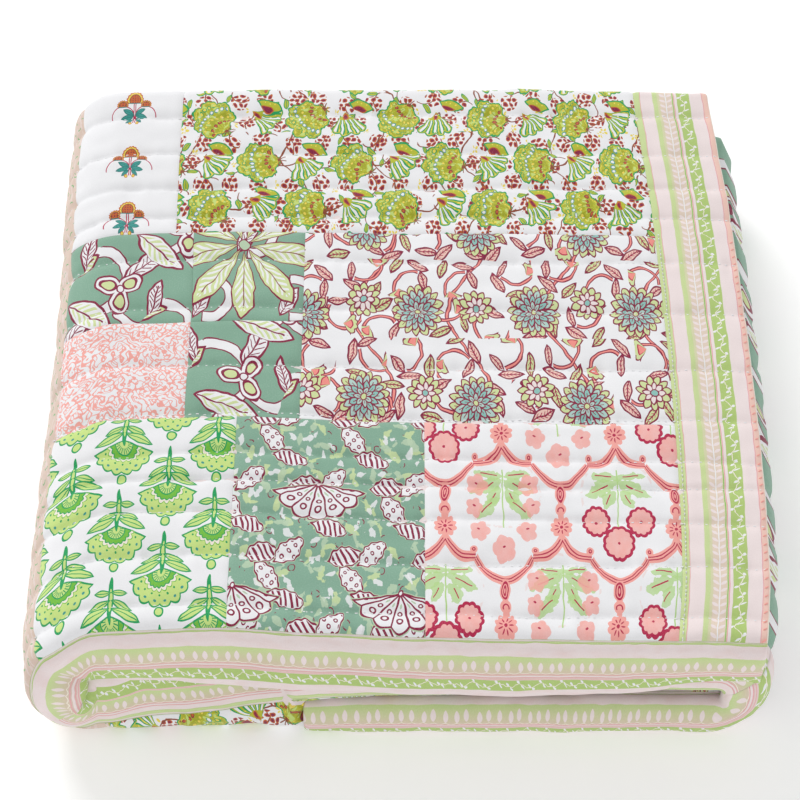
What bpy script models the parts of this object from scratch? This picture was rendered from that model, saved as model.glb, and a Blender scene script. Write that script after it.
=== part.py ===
"""A folded patchwork bedspread: one quilted sheet, folded in thirds front to back, then in thirds side to side.

Metres, +Z up, +X to the right, +Y away from the front. The origin is at the middle of the
footprint, on the surface that the bedspread lies on.
"""

import math

import bmesh
import bpy

NAME = "bedspread"
CLOTH_COLOUR = (0.62, 0.70, 0.55, 1.0)
CLOTH_ROUGHNESS = 0.9

# The pieced border along the front hem, and how far its soft front bend is led in from behind.
STRIP = 0.056
LEAD_IN = 0.055
# Where the folded plies lie, front to back.
BACK_FOLD = 0.306
BACK_HEM = 0.293
# How far behind the front bend a ply eases down to the surface below.
EASE = 0.045
# The folded pack, side to side: the ends of its flat runs, and how square its turns are.
RIGHT_HEM = 0.290
LEFT_TURN = -0.2465
RIGHT_TURN = 0.262
BOTTOM_END = -0.083
TURN_POWER = 0.8
# Places to shift the middle of the footprint to the origin.
CENTRE_X = -0.0015
CENTRE_Y = 0.0130
# The most a ply is thick, between two rows of quilting.
FULL_LOFT = 0.0105
# What is left of that at a row of quilting, at a pieced seam or hem, inside the folds and at a
# side edge.
SEWN_SHARE = 0.62
SEAM_SHARE = 0.72
INNER_SHARE = 0.95
SIDE_SHARE = 0.8
# What lies lower than this rests flat on the surface below.
REST_UNDER = 0.0012
# Distances from the front seam to each row of quilting that runs across the top.
QUILTING_ROWS = (
    0.018, 0.065, 0.106, 0.138, 0.164, 0.206, 0.257,
    0.318, 0.373, 0.424, 0.458, 0.499, 0.546,
)

# One row for each section across the folded pack. at counts the runs: 0 to 1 is the top
# layer from its right hem, 1 to 2 the left turn, 2 to 3 the middle layer, 3 to 4 the right
# turn and 4 to 5 the bottom layer. bend is where the front bend starts, lead the straight
# before it, round1 and turn1 its radius and angle, face the straight after it, round2 and
# turn2 the second bend, drop how far the outer ply hangs below its place, inner the front
# turn of the two inner plies, pitch the distance between plies and loft their thickness.
COLUMNS = (
    "at", "bend", "lead", "round1", "turn1", "face", "round2", "turn2",
    "drop", "inner", "pitch", "loft",
)
SECTIONS = (
    (0.00, -0.2618, 0.0467, 0.017, 92, 0.030, 0.020, 94, 0.000, -0.250, 0.0088, 0.0065),
    (0.10, -0.2602, 0.0467, 0.017, 88, 0.030, 0.020, 91, 0.000, -0.251, 0.0100, 0.0075),
    (0.22, -0.2600, 0.0467, 0.017, 79, 0.036, 0.020, 84, 0.000, -0.252, 0.0114, 0.0087),
    (0.38, -0.2594, 0.0467, 0.017, 75, 0.042, 0.020, 80, 0.000, -0.252, 0.0139, 0.0105),
    (0.52, -0.2573, 0.0467, 0.017, 73, 0.042, 0.020, 79, 0.000, -0.252, 0.0139, 0.0105),
    (0.66, -0.2534, 0.0467, 0.017, 73, 0.042, 0.020, 79, 0.000, -0.252, 0.0139, 0.0105),
    (0.82, -0.2480, 0.0467, 0.017, 74, 0.034, 0.020, 82, 0.000, -0.250, 0.0139, 0.0105),
    (0.95, -0.2485, 0.0460, 0.017, 83, 0.028, 0.018, 110, 0.000, -0.246, 0.0139, 0.0105),
    (1.22, -0.2610, 0.0440, 0.014, 90, 0.018, 0.011, 176, 0.000, -0.236, 0.0145, 0.0105),
    (1.55, -0.2725, 0.0440, 0.014, 90, 0.016, 0.011, 180, 0.000, -0.225, 0.0150, 0.0105),
    (1.80, -0.2755, 0.0450, 0.012, 93, 0.022, 0.010, 178, 0.000, -0.218, 0.0145, 0.0105),
    (2.00, -0.2742, 0.0385, 0.009, 102, 0.041, 0.010, 170, 0.000, -0.215, 0.0139, 0.0105),
    (2.08, -0.2740, 0.0320, 0.009, 110, 0.051, 0.010, 160, 0.003, -0.217, 0.0139, 0.0105),
    (2.20, -0.2735, 0.0255, 0.009, 112, 0.053, 0.010, 160, 0.019, -0.220, 0.0139, 0.0105),
    (2.288, -0.2720, 0.0195, 0.009, 112, 0.047, 0.010, 160, 0.035, -0.220, 0.0139, 0.0105),
    (2.312, -0.2700, 0.0440, 0.009, 112, 0.026, 0.010, 160, 0.001, -0.220, 0.0139, 0.0105),
    (2.50, -0.2685, 0.0460, 0.009, 115, 0.020, 0.010, 175, 0.000, -0.220, 0.0139, 0.0105),
    (3.00, -0.2685, 0.0460, 0.009, 112, 0.012, 0.010, 180, 0.000, -0.222, 0.0139, 0.0105),
    (3.50, -0.2720, 0.0540, 0.009, 92, 0.009, 0.010, 180, 0.000, -0.228, 0.0139, 0.0105),
    (4.00, -0.2768, 0.0620, 0.010, 90, 0.0078, 0.010, 180, 0.000, -0.232, 0.0139, 0.0105),
    (4.85, -0.2768, 0.0620, 0.010, 90, 0.0078, 0.010, 180, 0.000, -0.232, 0.0139, 0.0105),
    (5.00, -0.2768, 0.0620, 0.009, 90, 0.0065, 0.009, 180, 0.000, -0.236, 0.0125, 0.0095),
)

# How far the pack's two sides stand out or in along its depth, as (y, shift): the top layer's
# right hem, the right turn under it and the left turn.
HEM_BOW = (
    (-0.290, -0.0130), (-0.245, -0.0080), (-0.215, -0.0045), (-0.140, -0.0010), (-0.070, 0.0000),
    (0.040, -0.0010), (0.170, -0.0045), (0.240, -0.0090), (0.315, -0.0130),
)
RIGHT_BOW = (
    (-0.290, -0.0250), (-0.268, -0.0175), (-0.245, -0.0105), (-0.215, -0.0065), (-0.140, 0.0000),
    (-0.070, 0.0022), (0.040, 0.0032), (0.170, 0.0015), (0.240, 0.0000), (0.315, -0.0020),
)
LEFT_BOW = (
    (-0.290, 0.0030), (-0.270, 0.0030), (-0.245, 0.0005), (-0.200, 0.0000), (0.060, 0.0000),
    (0.120, -0.0025), (0.220, -0.0055), (0.315, -0.0065),
)
# How far from the middle that starts, and the run over which it comes in.
BOW_FROM = 0.06
BOW_RUN = 0.18

# Heights of each layer's middle, as (x, z) across the pack.
TOP_LAYER = (
    (-0.2465, 0.0985), (-0.160, 0.1015), (0.020, 0.1025), (0.180, 0.1050), (0.290, 0.1065),
)
MIDDLE_LAYER = (
    (-0.2465, 0.0192), (-0.205, 0.0215), (-0.165, 0.0300), (-0.125, 0.0445), (-0.085, 0.0560),
    (-0.030, 0.0605), (0.060, 0.0620), (0.160, 0.0665), (0.262, 0.0705),
)
BOTTOM_LAYER = ((-0.083, 0.0173), (-0.030, 0.0192), (0.262, 0.0192))

# Where the grid's lines run, in the same counts as the sections, and along the front path.
ACROSS_TOP = 8
ACROSS_LEFT_TURN = 8
MIDDLE_LINES = (2.09, 2.17, 2.235, 2.275, 2.288, 2.300, 2.312, 2.38, 2.50, 2.66, 2.82, 2.92)
ACROSS_RIGHT_TURN = 6
ACROSS_BOTTOM = 5
FRONT_LINES = (0.0, 0.012, 0.024, 0.036, 0.047, STRIP, 0.064, 0.073, 0.086, 0.098)
TURN_STEPS = 4
INNER_RUN_STEPS = 6


def between(rows, x):
    """The value at x of a short table of (x, value), with an eased change between rows."""
    if x <= rows[0][0]:
        return rows[0][1]
    for (x0, v0), (x1, v1) in zip(rows, rows[1:]):
        if x <= x1:
            share = (x - x0) / (x1 - x0)
            return v0 + (v1 - v0) * share * share * (3 - 2 * share)
    return rows[-1][1]


def section(at):
    """The section's values by name at any place across the pack."""
    places = [row[0] for row in SECTIONS]
    return {
        name: between([(place, row[i]) for place, row in zip(places, SECTIONS)], at)
        for i, name in enumerate(COLUMNS)
    }


def curve(rows, x):
    """The value at x of a smooth curve through a short table of (x, value)."""
    last = len(rows) - 1
    x = min(max(x, rows[0][0]), rows[last][0])
    i = max(k for k in range(last) if rows[k][0] <= x)
    (x0, z0), (x1, z1) = rows[i], rows[i + 1]

    def slope(k):
        if k in (0, last):
            return 0.0
        return (rows[k + 1][1] - rows[k - 1][1]) / (rows[k + 1][0] - rows[k - 1][0])

    run = x1 - x0
    s = (x - x0) / run
    return (
        z0 * (1 + 2 * s) * (1 - s) ** 2
        + z1 * s * s * (3 - 2 * s)
        + run * slope(i) * s * (1 - s) ** 2
        - run * slope(i + 1) * s * s * (1 - s)
    )


def turned(share, high, low):
    """(how far out, height) on a turn from the height high down to low, a little squarer than round."""
    across, down = math.sin(math.pi * share), math.cos(math.pi * share)
    radius = (high - low) / 2
    out = radius * max(across, 0.0) ** TURN_POWER
    return out, (high + low) / 2 + radius * math.copysign(abs(down) ** TURN_POWER, down)


def centre(at):
    """The middle of the three-ply pack at a place across it, as (x, z)."""
    if at <= 1:
        x = RIGHT_HEM + (LEFT_TURN - RIGHT_HEM) * at
        return x, curve(TOP_LAYER, x)
    if at <= 2:
        out, z = turned(at - 1, TOP_LAYER[0][1], MIDDLE_LAYER[0][1])
        return LEFT_TURN - out, z
    if at <= 3:
        x = LEFT_TURN + (RIGHT_TURN - LEFT_TURN) * (at - 2)
        return x, curve(MIDDLE_LAYER, x)
    if at <= 4:
        out, z = turned(at - 3, MIDDLE_LAYER[-1][1], BOTTOM_LAYER[-1][1])
        return RIGHT_TURN + out, z
    x = RIGHT_TURN + (BOTTOM_END - RIGHT_TURN) * (at - 4)
    return x, curve(BOTTOM_LAYER, x)


def outward(at):
    """The unit vector, as (x, z), that points to the patterned side at a place across the pack."""
    step = 0.004
    low, high = max(at - step, 0.0), min(at + step, 5.0)
    (x0, z0), (x1, z1) = centre(low), centre(high)
    length = math.hypot(x1 - x0, z1 - z0)
    return (z1 - z0) / length, -(x1 - x0) / length


def front_path(run, row):
    """(y, depth) of the outer ply, run metres on from the start of the lead-in towards the hem."""
    y, depth = row["bend"] + row["lead"], 0.0
    step = min(run, row["lead"])
    y -= step
    run -= step
    angle = 0.0
    for radius, turn, straight in (
        (row["round1"], math.radians(row["turn1"]), row["face"]),
        (row["round2"], math.radians(row["turn2"]), math.inf),
    ):
        swept = min(run / radius, turn - angle)
        y -= radius * (math.sin(angle + swept) - math.sin(angle))
        depth += radius * (math.cos(angle) - math.cos(angle + swept))
        run -= radius * swept
        angle += swept
        step = min(run, straight)
        y -= step * math.cos(angle)
        depth += step * math.sin(angle)
        run -= step
    return y, depth


def ease(value):
    value = min(max(value, 0.0), 1.0)
    return value * value * (3 - 2 * value)


def ply_place(line, row):
    """(y, height above the pack's middle) of one line of the sheet, front hem to back hem."""
    kind, value = line
    pitch = row["pitch"]
    if kind == "front":
        y, depth = front_path(STRIP + LEAD_IN - value, row)
        return y, pitch + row["drop"] - depth
    start = row["bend"] + row["lead"]
    if kind == "top":
        y = start + (BACK_FOLD - start) * value
        return y, pitch + row["drop"] * ease(1 - (y - start) / EASE)
    if kind == "back turn":
        return BACK_FOLD + pitch / 2 * math.sin(value), pitch / 2 * (1 + math.cos(value))
    if kind == "middle":
        return BACK_FOLD + (row["inner"] - BACK_FOLD) * value, 0.0
    if kind == "front turn":
        return row["inner"] - pitch / 2 * math.sin(value), -pitch / 2 * (1 - math.cos(value))
    return row["inner"] + (BACK_HEM - row["inner"]) * value, -pitch


def sheet_lines():
    """Each line of the sheet from the front hem to the back hem, with its share of full loft."""
    lines = [(("front", t), SEAM_SHARE if t in (0.0, STRIP) else 1.0) for t in FRONT_LINES]
    lines.append((("front", STRIP + LEAD_IN), 1.0))
    middle = section(0.5)
    run = BACK_FOLD - (middle["bend"] + middle["lead"])
    rows = [row - LEAD_IN for row in QUILTING_ROWS if row > LEAD_IN]
    places = []
    for a, b in zip(rows, rows[1:] + [run]):
        places += [(a, SEWN_SHARE), ((a + b) / 2, 1.0)]
    lines += [(("top", y / run), loft) for y, loft in places]
    steps = [math.pi * i / TURN_STEPS for i in range(TURN_STEPS + 1)]
    inner = [i / INNER_RUN_STEPS for i in range(1, INNER_RUN_STEPS)]
    lines += [(("back turn", angle), INNER_SHARE) for angle in steps]
    lines += [(("middle", part), INNER_SHARE) for part in inner]
    lines += [(("front turn", angle), INNER_SHARE) for angle in steps]
    lines += [(("lower", part), INNER_SHARE) for part in inner]
    lines.append((("lower", 1.0), SEAM_SHARE))
    return lines


def across_lines():
    """Each line of the sheet from the top layer's right hem to the bottom layer's end."""
    lines = [i / ACROSS_TOP for i in range(ACROSS_TOP)]
    lines += [1 + i / ACROSS_LEFT_TURN for i in range(ACROSS_LEFT_TURN + 1)]
    lines += list(MIDDLE_LINES)
    lines += [3 + i / ACROSS_RIGHT_TURN for i in range(ACROSS_RIGHT_TURN + 1)]
    lines += [4 + (i + 1) / ACROSS_BOTTOM for i in range(ACROSS_BOTTOM)]
    return lines


def side_shift(at, x, y):
    """How far a point moves sideways, so that the pack's sides bow as cloth does."""
    right = curve(HEM_BOW if at < 1 else RIGHT_BOW, y) * ease((x - BOW_FROM) / BOW_RUN)
    left = curve(LEFT_BOW, y) * ease((-x - BOW_FROM) / BOW_RUN)
    return right + left


def sheet_mesh():
    """The sheet's middle surface, and each vertex's thickness as a share of full loft."""
    lines, across = sheet_lines(), across_lines()
    mesh = bmesh.new()
    bmesh.ops.create_grid(
        mesh, x_segments=len(across) - 1, y_segments=len(lines) - 1, size=0.5
    )
    shares = []
    for vertex in mesh.verts:
        i = round((vertex.co.x + 0.5) * (len(across) - 1))
        j = round((vertex.co.y + 0.5) * (len(lines) - 1))
        at = across[i]
        line, share = lines[j]
        row = section(at)
        y, height = ply_place(line, row)
        x, z = centre(at)
        normal_x, normal_z = outward(at)
        share *= row["loft"] / FULL_LOFT * (SIDE_SHARE if i in (0, len(across) - 1) else 1.0)
        x += height * normal_x
        z += height * normal_z
        if z < share * FULL_LOFT / 2 + REST_UNDER:
            z = share * FULL_LOFT / 2
        vertex.co = (x + side_shift(at, x, y) - CENTRE_X, y - CENTRE_Y, z)
        shares.append(share)
    return mesh, shares


def finish(name, colour, roughness):
    material = bpy.data.materials.new(name)
    material.use_nodes = True
    shader = material.node_tree.nodes["Principled BSDF"]
    shader.inputs["Base Color"].default_value = colour
    shader.inputs["Roughness"].default_value = roughness
    return material


def bedspread(collection):
    """The quilted sheet, thickened evenly about its middle surface and flat where it lies."""
    grid, shares = sheet_mesh()
    middle = bpy.data.meshes.new("sheet_middle")
    grid.to_mesh(middle)
    grid.free()
    sheet = bpy.data.objects.new("sheet_middle", middle)
    collection.objects.link(sheet)
    group = sheet.vertex_groups.new(name="loft")
    for index, share in enumerate(shares):
        group.add([index], share, "REPLACE")
    quilt = sheet.modifiers.new("quilt", "SOLIDIFY")
    quilt.thickness = FULL_LOFT
    quilt.offset = 0.0
    quilt.use_even_offset = True
    quilt.use_quality_normals = True
    quilt.vertex_group = group.name
    bpy.context.view_layer.update()
    graph = bpy.context.evaluated_depsgraph_get()
    solid = bpy.data.meshes.new_from_object(sheet.evaluated_get(graph))
    bpy.data.objects.remove(sheet)
    for vertex in solid.vertices:
        if vertex.co.z < REST_UNDER:
            vertex.co.z = 0.0
    solid.name = NAME
    made = bpy.data.objects.new(NAME, solid)
    solid.materials.clear()
    solid.materials.append(finish("quilted_cotton", CLOTH_COLOUR, CLOTH_ROUGHNESS))
    solid.shade_smooth()
    collection.objects.link(made)
    return made


def main():
    for old in list(bpy.data.objects):
        bpy.data.objects.remove(old)
    collection = bpy.data.collections.new("patchwork_bedspread")
    bpy.context.scene.collection.children.link(collection)
    bedspread(collection)


main()
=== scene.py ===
"""The looks of a folded patchwork bedspread: its quilted cloth, printed patches, border and stitches.

Metres, in the same frame as the solid: +X to the right, +Y away from the front, +Z up. The cloth
is laid out by the same folds as the solid. A place on it is (across, along): metres from the
right hem of the top layer towards the left, and metres from the front hem towards the back hem.
Prints are drawn in millimetres of flat cloth.
"""

import math

import bpy
import numpy as np
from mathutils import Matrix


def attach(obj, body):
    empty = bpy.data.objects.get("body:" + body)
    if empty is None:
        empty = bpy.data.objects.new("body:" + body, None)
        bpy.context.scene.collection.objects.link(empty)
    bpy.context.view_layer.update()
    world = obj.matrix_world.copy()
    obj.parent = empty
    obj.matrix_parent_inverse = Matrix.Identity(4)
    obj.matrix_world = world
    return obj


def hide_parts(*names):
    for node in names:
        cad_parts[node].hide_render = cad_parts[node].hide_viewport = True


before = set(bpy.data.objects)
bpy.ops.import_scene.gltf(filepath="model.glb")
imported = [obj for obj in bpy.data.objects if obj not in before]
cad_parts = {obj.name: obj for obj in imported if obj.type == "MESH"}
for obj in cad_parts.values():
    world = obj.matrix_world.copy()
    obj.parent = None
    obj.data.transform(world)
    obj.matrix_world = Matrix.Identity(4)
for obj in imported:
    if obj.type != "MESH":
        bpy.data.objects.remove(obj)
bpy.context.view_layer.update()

# The folds, as the solid has them.
STRIP = 0.056
LEAD_IN = 0.055
BACK_FOLD = 0.306
BACK_HEM = 0.293
EASE = 0.045
RIGHT_HEM = 0.290
LEFT_TURN = -0.2465
RIGHT_TURN = 0.262
BOTTOM_END = -0.083
TURN_POWER = 0.8
CENTRE_X = -0.0015
CENTRE_Y = 0.0130
SEAM_SHARE = 0.72
QUILTING_ROWS = (
    0.018, 0.065, 0.106, 0.138, 0.164, 0.206, 0.257,
    0.318, 0.373, 0.424, 0.458, 0.499, 0.546,
)
COLUMNS = (
    "at", "bend", "lead", "round1", "turn1", "face", "round2", "turn2",
    "drop", "inner", "pitch", "loft",
)
SECTIONS = (
    (0.00, -0.2618, 0.0467, 0.017, 92, 0.030, 0.020, 94, 0.000, -0.250, 0.0088, 0.0065),
    (0.10, -0.2602, 0.0467, 0.017, 88, 0.030, 0.020, 91, 0.000, -0.251, 0.0100, 0.0075),
    (0.22, -0.2600, 0.0467, 0.017, 79, 0.036, 0.020, 84, 0.000, -0.252, 0.0114, 0.0087),
    (0.38, -0.2594, 0.0467, 0.017, 75, 0.042, 0.020, 80, 0.000, -0.252, 0.0139, 0.0105),
    (0.52, -0.2573, 0.0467, 0.017, 73, 0.042, 0.020, 79, 0.000, -0.252, 0.0139, 0.0105),
    (0.66, -0.2534, 0.0467, 0.017, 73, 0.042, 0.020, 79, 0.000, -0.252, 0.0139, 0.0105),
    (0.82, -0.2480, 0.0467, 0.017, 74, 0.034, 0.020, 82, 0.000, -0.250, 0.0139, 0.0105),
    (0.95, -0.2485, 0.0460, 0.017, 83, 0.028, 0.018, 110, 0.000, -0.246, 0.0139, 0.0105),
    (1.22, -0.2610, 0.0440, 0.014, 90, 0.018, 0.011, 176, 0.000, -0.236, 0.0145, 0.0105),
    (1.55, -0.2725, 0.0440, 0.014, 90, 0.016, 0.011, 180, 0.000, -0.225, 0.0150, 0.0105),
    (1.80, -0.2755, 0.0450, 0.012, 93, 0.022, 0.010, 178, 0.000, -0.218, 0.0145, 0.0105),
    (2.00, -0.2742, 0.0385, 0.009, 102, 0.041, 0.010, 170, 0.000, -0.215, 0.0139, 0.0105),
    (2.08, -0.2740, 0.0320, 0.009, 110, 0.051, 0.010, 160, 0.003, -0.217, 0.0139, 0.0105),
    (2.20, -0.2735, 0.0255, 0.009, 112, 0.053, 0.010, 160, 0.019, -0.220, 0.0139, 0.0105),
    (2.288, -0.2720, 0.0195, 0.009, 112, 0.047, 0.010, 160, 0.035, -0.220, 0.0139, 0.0105),
    (2.312, -0.2700, 0.0440, 0.009, 112, 0.026, 0.010, 160, 0.001, -0.220, 0.0139, 0.0105),
    (2.50, -0.2685, 0.0460, 0.009, 115, 0.020, 0.010, 175, 0.000, -0.220, 0.0139, 0.0105),
    (3.00, -0.2685, 0.0460, 0.009, 112, 0.012, 0.010, 180, 0.000, -0.222, 0.0139, 0.0105),
    (3.50, -0.2720, 0.0540, 0.009, 92, 0.009, 0.010, 180, 0.000, -0.228, 0.0139, 0.0105),
    (4.00, -0.2768, 0.0620, 0.010, 90, 0.0078, 0.010, 180, 0.000, -0.232, 0.0139, 0.0105),
    (4.85, -0.2768, 0.0620, 0.010, 90, 0.0078, 0.010, 180, 0.000, -0.232, 0.0139, 0.0105),
    (5.00, -0.2768, 0.0620, 0.009, 90, 0.0065, 0.009, 180, 0.000, -0.236, 0.0125, 0.0095),
)
HEM_BOW = (
    (-0.290, -0.0130), (-0.245, -0.0080), (-0.215, -0.0045), (-0.140, -0.0010), (-0.070, 0.0000),
    (0.040, -0.0010), (0.170, -0.0045), (0.240, -0.0090), (0.315, -0.0130),
)
RIGHT_BOW = (
    (-0.290, -0.0250), (-0.268, -0.0175), (-0.245, -0.0105), (-0.215, -0.0065), (-0.140, 0.0000),
    (-0.070, 0.0022), (0.040, 0.0032), (0.170, 0.0015), (0.240, 0.0000), (0.315, -0.0020),
)
LEFT_BOW = (
    (-0.290, 0.0030), (-0.270, 0.0030), (-0.245, 0.0005), (-0.200, 0.0000), (0.060, 0.0000),
    (0.120, -0.0025), (0.220, -0.0055), (0.315, -0.0065),
)
BOW_FROM = 0.06
BOW_RUN = 0.18
TOP_LAYER = (
    (-0.2465, 0.0985), (-0.160, 0.1015), (0.020, 0.1025), (0.180, 0.1050), (0.290, 0.1065),
)
MIDDLE_LAYER = (
    (-0.2465, 0.0192), (-0.205, 0.0215), (-0.165, 0.0300), (-0.125, 0.0445), (-0.085, 0.0560),
    (-0.030, 0.0605), (0.060, 0.0620), (0.160, 0.0665), (0.262, 0.0705),
)
BOTTOM_LAYER = ((-0.083, 0.0173), (-0.030, 0.0192), (0.262, 0.0192))

# Patches are cut in whole inches. Quilting takes up a little length and lets the width ease out.
INCH_ACROSS = 0.0254 * 1.015
INCH_ALONG = 0.0254 * 0.994
SIDE_BORDER = 0.0695

# How the fabric lies over the filling.
PANEL = 0.0006
ROW_SHARE = 0.34
UNDER_PATCHES = 0.0017
SEAM_SINK = 0.0013
SEAM_WIDTH = 0.0026
HEM_ROUND = 0.0045
# The spacing of the cloth's own threads.
WARP = 0.00042
WEFT = 0.00046

# The camera, fitted to the patchwork's grid in the photograph.
PHOTO_WIDTH = 800
FOCAL_PIXELS = 2259
CAMERA_DOWN = 53.8


def ease(value):
    value = min(max(value, 0.0), 1.0)
    return value * value * (3 - 2 * value)


def between(rows, x):
    """The value at x of a short table of (x, value), with an eased change between rows."""
    if x <= rows[0][0]:
        return rows[0][1]
    for (x0, v0), (x1, v1) in zip(rows, rows[1:]):
        if x <= x1:
            return v0 + (v1 - v0) * ease((x - x0) / (x1 - x0))
    return rows[-1][1]


AT_TABLE = np.linspace(0.0, 5.0, 2001)
SECTION_TABLE = {
    name: np.array([between([(row[0], row[i]) for row in SECTIONS], at) for at in AT_TABLE])
    for i, name in enumerate(COLUMNS)
}


def section(at):
    """The fold's values by name at any place across the pack."""
    return {name: float(np.interp(at, AT_TABLE, values)) for name, values in SECTION_TABLE.items()}


def curve(rows, x):
    """The value at x of a smooth curve through a short table of (x, value)."""
    last = len(rows) - 1
    x = min(max(x, rows[0][0]), rows[last][0])
    i = max(k for k in range(last) if rows[k][0] <= x)
    (x0, z0), (x1, z1) = rows[i], rows[i + 1]

    def slope(k):
        if k in (0, last):
            return 0.0
        return (rows[k + 1][1] - rows[k - 1][1]) / (rows[k + 1][0] - rows[k - 1][0])

    run = x1 - x0
    s = (x - x0) / run
    return (
        z0 * (1 + 2 * s) * (1 - s) ** 2
        + z1 * s * s * (3 - 2 * s)
        + run * slope(i) * s * (1 - s) ** 2
        - run * slope(i + 1) * s * s * (1 - s)
    )


def turned(share, high, low):
    """(how far out, height) on a turn from the height high down to low, a little squarer than round."""
    across, down = math.sin(math.pi * share), math.cos(math.pi * share)
    radius = (high - low) / 2
    out = radius * max(across, 0.0) ** TURN_POWER
    return out, (high + low) / 2 + radius * math.copysign(abs(down) ** TURN_POWER, down)


def centre(at):
    """The middle of the three-ply pack at a place across it, as (x, z)."""
    if at <= 1:
        x = RIGHT_HEM + (LEFT_TURN - RIGHT_HEM) * at
        return x, curve(TOP_LAYER, x)
    if at <= 2:
        out, z = turned(at - 1, TOP_LAYER[0][1], MIDDLE_LAYER[0][1])
        return LEFT_TURN - out, z
    if at <= 3:
        x = LEFT_TURN + (RIGHT_TURN - LEFT_TURN) * (at - 2)
        return x, curve(MIDDLE_LAYER, x)
    if at <= 4:
        out, z = turned(at - 3, MIDDLE_LAYER[-1][1], BOTTOM_LAYER[-1][1])
        return RIGHT_TURN + out, z
    x = RIGHT_TURN + (BOTTOM_END - RIGHT_TURN) * (at - 4)
    return x, curve(BOTTOM_LAYER, x)


def outward(at):
    """The unit vector, as (x, z), that points to the patterned side at a place across the pack."""
    step = 0.004
    low, high = max(at - step, 0.0), min(at + step, 5.0)
    (x0, z0), (x1, z1) = centre(low), centre(high)
    length = math.hypot(x1 - x0, z1 - z0)
    return (z1 - z0) / length, -(x1 - x0) / length


def front_path(run, row):
    """(y, depth) of the outer ply, run metres on from the start of the lead-in towards the hem."""
    step = np.minimum(run, row["lead"])
    y, depth = row["bend"] + row["lead"] - step, 0.0
    run = run - step
    angle = 0.0
    for radius, turn, straight in (
        (row["round1"], math.radians(row["turn1"]), row["face"]),
        (row["round2"], math.radians(row["turn2"]), math.inf),
    ):
        swept = np.minimum(run / radius, turn - angle)
        y = y - radius * (np.sin(angle + swept) - np.sin(angle))
        depth = depth + radius * (np.cos(angle) - np.cos(angle + swept))
        run = run - radius * swept
        angle = angle + swept
        step = np.minimum(run, straight)
        y = y - step * np.cos(angle)
        depth = depth + step * np.sin(angle)
        run = run - step
    return y, depth


MIDDLE_ROW = section(0.5)
TOP_RUN = BACK_FOLD - MIDDLE_ROW["bend"] - MIDDLE_ROW["lead"]
TURN_RUN = math.pi * MIDDLE_ROW["pitch"] / 2
INNER_RUN = BACK_FOLD - MIDDLE_ROW["inner"]
LOWER_RUN = BACK_HEM - MIDDLE_ROW["inner"]
# How far along the cloth each stretch ends, from the front hem.
TOP_START = STRIP + LEAD_IN
TOP_STOP = TOP_START + TOP_RUN
BACK_STOP = TOP_STOP + TURN_RUN
MIDDLE_STOP = BACK_STOP + INNER_RUN
FRONT_STOP = MIDDLE_STOP + TURN_RUN
BACK_EDGE = FRONT_STOP + LOWER_RUN


def ply_place(along, row):
    """(y, height above the pack's middle) of places along the cloth, front hem to back hem."""
    pitch = row["pitch"]
    start = row["bend"] + row["lead"]
    front_y, depth = front_path(TOP_START - np.minimum(along, TOP_START), row)
    top_y = start + (BACK_FOLD - start) * (along - TOP_START) / TOP_RUN
    settle = np.clip(1 - (top_y - start) / EASE, 0, 1)
    back = math.pi * (along - TOP_STOP) / TURN_RUN
    middle_y = BACK_FOLD + (row["inner"] - BACK_FOLD) * (along - BACK_STOP) / INNER_RUN
    front = math.pi * (along - MIDDLE_STOP) / TURN_RUN
    lower_y = row["inner"] + (BACK_HEM - row["inner"]) * (along - FRONT_STOP) / LOWER_RUN
    stretches = [along <= limit for limit in (TOP_START, TOP_STOP, BACK_STOP, MIDDLE_STOP, FRONT_STOP)]
    y = np.select(
        stretches,
        [
            front_y, top_y, BACK_FOLD + pitch / 2 * np.sin(back), middle_y,
            row["inner"] - pitch / 2 * np.sin(front),
        ],
        lower_y,
    )
    height = np.select(
        stretches,
        [
            pitch + row["drop"] - depth, pitch + row["drop"] * settle * settle * (3 - 2 * settle),
            pitch / 2 * (1 + np.cos(back)), 0.0, -pitch / 2 * (1 - np.cos(front)),
        ],
        -pitch,
    )
    return y, height


Y_TABLE = np.linspace(-0.33, 0.33, 661)
HEM_TABLE, RIGHT_TABLE, LEFT_TABLE = [
    np.array([curve(rows, y) for y in Y_TABLE]) for rows in (HEM_BOW, RIGHT_BOW, LEFT_BOW)
]


def side_shift(at, x, y):
    """How far points move sideways, so that the pack's sides bow as cloth does."""
    right = np.clip((x - BOW_FROM) / BOW_RUN, 0, 1)
    left = np.clip((-x - BOW_FROM) / BOW_RUN, 0, 1)
    right_bow = np.interp(y, Y_TABLE, HEM_TABLE if at < 1 else RIGHT_TABLE)
    left_bow = np.interp(y, Y_TABLE, LEFT_TABLE)
    return right_bow * right * right * (3 - 2 * right) + left_bow * left * left * (3 - 2 * left)


def outer_lengths():
    """(places across the pack, cloth's length from the right hem to each) along the outer ply."""
    places = np.linspace(0.0, 5.0, 1501)
    points = []
    for at in places:
        (x, z), (normal_x, normal_z) = centre(at), outward(at)
        height = MIDDLE_ROW["pitch"]
        points.append((x + height * normal_x, z + height * normal_z))
    steps = np.hypot(*np.diff(np.array(points), axis=0).T)
    return places, np.concatenate([[0.0], np.cumsum(steps)])


PLACES, LENGTHS = outer_lengths()
LEFT_EDGE = float(LENGTHS[-1])


def middle_points(across, along):
    """The middle surface of the cloth at each pair of places, as an array (across, along, 3)."""
    points = np.empty((len(across), len(along), 3))
    for i, at in enumerate(np.interp(across, LENGTHS, PLACES)):
        (x, z), (normal_x, normal_z) = centre(at), outward(at)
        y, height = ply_place(along, section(at))
        px = x + height * normal_x
        points[i, :, 0] = px + side_shift(at, px, y) - CENTRE_X
        points[i, :, 1] = y - CENTRE_Y
        points[i, :, 2] = z + height * normal_z
    return points


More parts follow.
